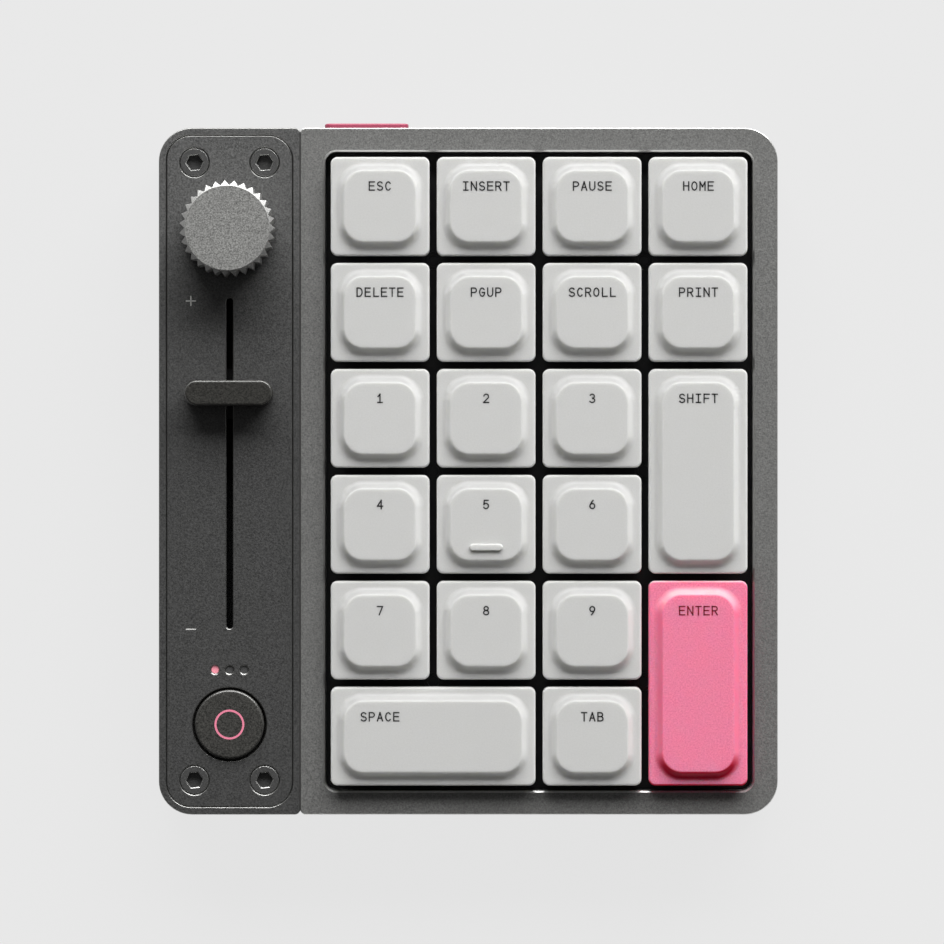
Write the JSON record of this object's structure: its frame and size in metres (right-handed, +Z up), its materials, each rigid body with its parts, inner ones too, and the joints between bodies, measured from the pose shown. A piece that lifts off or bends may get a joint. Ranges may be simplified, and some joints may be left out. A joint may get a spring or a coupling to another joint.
{
  "type": "macro keypad",
  "caption": "Low desktop macro keypad: a metal frame round a block of key caps, with a side module holding a turning knob, a slider, status lights and a round button.",
  "frame": {"origin": "middle of the whole object in plan, on the desk under the rubber feet", "axes": "+Z up, +Y towards the rear edge with the socket, +X to the user's right, module on the left"},
  "size_m": [0.1112, 0.1248, 0.024],
  "materials": {
    "frame_metal": "bead-blasted grey anodised",
    "module_metal": "bead-blasted dark grey anodised",
    "knob_metal": "grained grey anodised",
    "dark_control": "fine matt dark grey",
    "white_plastic": "fine textured",
    "pink_plastic": "fine textured",
    "black_plate": "matt black",
    "black_plastic": "moulded",
    "circuit_board": "solder mask",
    "steel": "plated",
    "screw_steel": "dark plated",
    "rubber": "matt",
    "light_pink": "lit light pipe",
    "light_dark": "unlit light pipe"
  },
  "bodies": {
    "case": {"board_screws": "screw_steel", "bottom_cover": "frame_metal", "case_screws": "black_plate", "clinch_nuts": "black_plate", "controller_chip": "black_plastic", "encoder_body": "steel", "encoder_nut": "steel", "faceplate_screws": "screw_steel", "fader_body": "black_plate", "guide_bushes": "black_plastic", "joining_screws": "screw_steel", "link_connector": "black_plastic", "main_board": "circuit_board", "main_frame": "frame_metal", "mode_button_switch": "black_plastic", "module_board": "circuit_board", "module_faceplate": "module_metal", "module_housing": "module_metal", "rear_button_switch": "black_plastic", "rubber_feet": "rubber", "status_leds": "light_dark", "status_light_left": "light_pink", "status_light_middle": "light_dark", "status_light_right": "light_dark", "switch_housings": "black_plastic", "switch_plate": "black_plate", "switch_springs": "steel", "usb_socket": "steel"},
    "key_1_unit": {"key_1": "white_plastic"},
    "key_2_unit": {"key_2": "white_plastic"},
    "key_3_unit": {"key_3": "white_plastic"},
    "key_4_unit": {"key_4": "white_plastic"},
    "key_5_unit": {"key_5": "white_plastic"},
    "key_6_unit": {"key_6": "white_plastic"},
    "key_7_unit": {"key_7": "white_plastic"},
    "key_8_unit": {"key_8": "white_plastic"},
    "key_9_unit": {"key_9": "white_plastic"},
    "key_delete_unit": {"key_delete": "white_plastic"},
    "key_enter_unit": {"key_enter": "pink_plastic"},
    "key_esc_unit": {"key_esc": "white_plastic"},
    "key_home_unit": {"key_home": "white_plastic"},
    "key_insert_unit": {"key_insert": "white_plastic"},
    "key_page_up_unit": {"key_page_up": "white_plastic"},
    "key_pause_unit": {"key_pause": "white_plastic"},
    "key_print_unit": {"key_print": "white_plastic"},
    "key_scroll_unit": {"key_scroll": "white_plastic"},
    "key_shift_unit": {"key_shift": "white_plastic"},
    "key_space_unit": {"key_space": "white_plastic"},
    "key_tab_unit": {"key_tab": "white_plastic"},
    "knob_push": {"encoder_plunger": "black_plastic"},
    "knob": {"control_knob": "knob_metal", "encoder_shaft": "steel"},
    "slider": {"slider_carriage": "black_plastic", "slider_lever": "steel", "slider_cap": "dark_control"},
    "mode_press": {"mode_button": "dark_control", "mode_button_plunger": "black_plastic"},
    "rear_press": {"rear_button": "pink_plastic", "rear_button_plunger": "black_plastic"}
  },
  "joints": [
    {"name": "press_1", "type": "slide", "parent": "case", "child": "key_1_unit", "axis": [0, 0, -1], "range_m": [0, 0.0025], "stiffness_N_per_m": 150, "springref_m": -0.003, "deforming": ["switch_springs"]},
    {"name": "press_2", "type": "slide", "parent": "case", "child": "key_2_unit", "axis": [0, 0, -1], "range_m": [0, 0.0025], "stiffness_N_per_m": 150, "springref_m": -0.003, "deforming": ["switch_springs"]},
    {"name": "press_3", "type": "slide", "parent": "case", "child": "key_3_unit", "axis": [0, 0, -1], "range_m": [0, 0.0025], "stiffness_N_per_m": 150, "springref_m": -0.003, "deforming": ["switch_springs"]},
    {"name": "press_4", "type": "slide", "parent": "case", "child": "key_4_unit", "axis": [0, 0, -1], "range_m": [0, 0.0025], "stiffness_N_per_m": 150, "springref_m": -0.003, "deforming": ["switch_springs"]},
    {"name": "press_5", "type": "slide", "parent": "case", "child": "key_5_unit", "axis": [0, 0, -1], "range_m": [0, 0.0025], "stiffness_N_per_m": 150, "springref_m": -0.003, "deforming": ["switch_springs"]},
    {"name": "press_6", "type": "slide", "parent": "case", "child": "key_6_unit", "axis": [0, 0, -1], "range_m": [0, 0.0025], "stiffness_N_per_m": 150, "springref_m": -0.003, "deforming": ["switch_springs"]},
    {"name": "press_7", "type": "slide", "parent": "case", "child": "key_7_unit", "axis": [0, 0, -1], "range_m": [0, 0.0025], "stiffness_N_per_m": 150, "springref_m": -0.003, "deforming": ["switch_springs"]},
    {"name": "press_8", "type": "slide", "parent": "case", "child": "key_8_unit", "axis": [0, 0, -1], "range_m": [0, 0.0025], "stiffness_N_per_m": 150, "springref_m": -0.003, "deforming": ["switch_springs"]},
    {"name": "press_9", "type": "slide", "parent": "case", "child": "key_9_unit", "axis": [0, 0, -1], "range_m": [0, 0.0025], "stiffness_N_per_m": 150, "springref_m": -0.003, "deforming": ["switch_springs"]},
    {"name": "press_delete", "type": "slide", "parent": "case", "child": "key_delete_unit", "axis": [0, 0, -1], "range_m": [0, 0.0025], "stiffness_N_per_m": 150, "springref_m": -0.003, "deforming": ["switch_springs"]},
    {"name": "press_enter", "type": "slide", "parent": "case", "child": "key_enter_unit", "axis": [0, 0, -1], "range_m": [0, 0.0025], "stiffness_N_per_m": 150, "springref_m": -0.003, "deforming": ["switch_springs"]},
    {"name": "press_esc", "type": "slide", "parent": "case", "child": "key_esc_unit", "axis": [0, 0, -1], "range_m": [0, 0.0025], "stiffness_N_per_m": 150, "springref_m": -0.003, "deforming": ["switch_springs"]},
    {"name": "press_home", "type": "slide", "parent": "case", "child": "key_home_unit", "axis": [0, 0, -1], "range_m": [0, 0.0025], "stiffness_N_per_m": 150, "springref_m": -0.003, "deforming": ["switch_springs"]},
    {"name": "press_insert", "type": "slide", "parent": "case", "child": "key_insert_unit", "axis": [0, 0, -1], "range_m": [0, 0.0025], "stiffness_N_per_m": 150, "springref_m": -0.003, "deforming": ["switch_springs"]},
    {"name": "press_page_up", "type": "slide", "parent": "case", "child": "key_page_up_unit", "axis": [0, 0, -1], "range_m": [0, 0.0025], "stiffness_N_per_m": 150, "springref_m": -0.003, "deforming": ["switch_springs"]},
    {"name": "press_pause", "type": "slide", "parent": "case", "child": "key_pause_unit", "axis": [0, 0, -1], "range_m": [0, 0.0025], "stiffness_N_per_m": 150, "springref_m": -0.003, "deforming": ["switch_springs"]},
    {"name": "press_print", "type": "slide", "parent": "case", "child": "key_print_unit", "axis": [0, 0, -1], "range_m": [0, 0.0025], "stiffness_N_per_m": 150, "springref_m": -0.003, "deforming": ["switch_springs"]},
    {"name": "press_scroll", "type": "slide", "parent": "case", "child": "key_scroll_unit", "axis": [0, 0, -1], "range_m": [0, 0.0025], "stiffness_N_per_m": 150, "springref_m": -0.003, "deforming": ["switch_springs"]},
    {"name": "press_shift", "type": "slide", "parent": "case", "child": "key_shift_unit", "axis": [0, 0, -1], "range_m": [0, 0.0025], "stiffness_N_per_m": 150, "springref_m": -0.003, "deforming": ["switch_springs"]},
    {"name": "press_space", "type": "slide", "parent": "case", "child": "key_space_unit", "axis": [0, 0, -1], "range_m": [0, 0.0025], "stiffness_N_per_m": 150, "springref_m": -0.003, "deforming": ["switch_springs"]},
    {"name": "press_tab", "type": "slide", "parent": "case", "child": "key_tab_unit", "axis": [0, 0, -1], "range_m": [0, 0.0025], "stiffness_N_per_m": 150, "springref_m": -0.003, "deforming": ["switch_springs"]},
    {"name": "knob_press", "type": "slide", "parent": "case", "child": "knob_push", "axis": [0, 0, -1], "range_m": [0, 0.0005], "stiffness_N_per_m": 2000, "springref_m": -0.001},
    {"name": "knob_turn", "type": "hinge", "parent": "knob_push", "child": "knob", "pos_m": [-0.0429, 0.0426, 0.02], "axis": [0, 0, 1], "continuous": true},
    {"name": "slider_travel", "type": "slide", "parent": "case", "child": "slider", "axis": [0, 1, 0], "range_m": [-0.0402, 0.015]},
    {"name": "mode_button_press", "type": "slide", "parent": "case", "child": "mode_press", "axis": [0, 0, -1], "range_m": [0, 0.0004], "stiffness_N_per_m": 800, "springref_m": -0.002},
    {"name": "rear_button_press", "type": "slide", "parent": "case", "child": "rear_press", "axis": [0, -1, 0], "range_m": [0, 0.0004], "stiffness_N_per_m": 800, "springref_m": -0.002}
  ]
}
